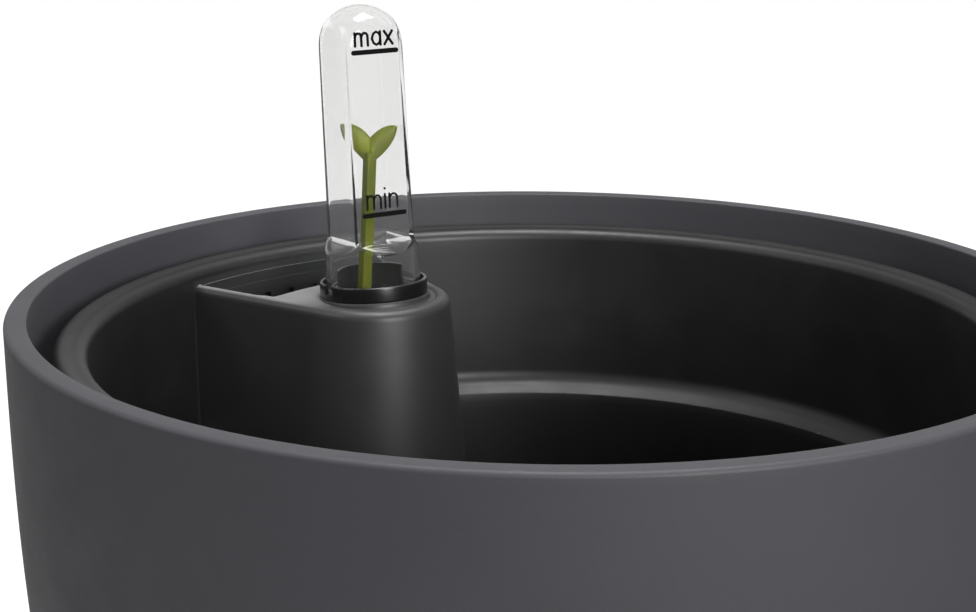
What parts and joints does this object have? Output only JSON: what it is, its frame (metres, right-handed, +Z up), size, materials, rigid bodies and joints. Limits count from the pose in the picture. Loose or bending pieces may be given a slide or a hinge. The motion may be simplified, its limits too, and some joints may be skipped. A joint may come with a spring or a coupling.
{
  "type": "self watering planter",
  "caption": "Round planter with a lift-out planting liner, textile wicks over a hidden reservoir, and a clear float gauge that shows the water level.",
  "frame": {"origin": "centre of the foot, on the ground plane", "axes": "+Z up along the pot's axis; the gauge tower stands at the back left, 133.9 degrees anticlockwise from +X seen from above; -Y is the viewing side"},
  "size_m": [0.302, 0.302, 0.3357],
  "materials": {
    "pot_wall": "matt anthracite moulded plastic with a very fine texture",
    "liner": "black moulded plastic, satin",
    "collar": "black moulded plastic, semi-gloss",
    "clear_tube": null,
    "sprout": "olive green moulded plastic",
    "float": "white moulded plastic",
    "plug": "black moulded plastic",
    "seal": "soft black rubber",
    "wick": "needled off-white textile strip"
  },
  "bodies": {
    "pot": {"outer_pot": "pot_wall"},
    "plug": {"drain_plug": "plug", "drain_plug_seal": "seal"},
    "liner": {"liner": "liner", "wick_1": "wick", "wick_2": "wick", "wick_3": "wick", "wick_4": "wick"},
    "gauge": {"gauge_sleeve": "collar", "sleeve_cap": "collar", "gauge_tube": "clear_tube"},
    "float": {"float_body": "float", "float_cap": "float", "sprout_pointer": "sprout"}
  },
  "joints": [
    {"name": "liner_lift", "type": "slide", "parent": "pot", "child": "liner", "axis": [0, 0, 1], "range_m": [0, 0.28]},
    {"name": "drain_plug_pull", "type": "slide", "parent": "pot", "child": "plug", "axis": [0, 0, 1], "range_m": [0, 0.03]},
    {"name": "gauge_lift", "type": "slide", "parent": "liner", "child": "gauge", "axis": [-0.0508, 0.0528, 0.9973], "range_m": [0, 0.26]},
    {"name": "float_rise", "type": "slide", "parent": "gauge", "child": "float", "axis": [-0.0508, 0.0528, 0.9973], "range_m": [-0.0265, 0.023], "stiffness_N_per_m": 4.4, "springref_m": 0.0133}
  ]
}
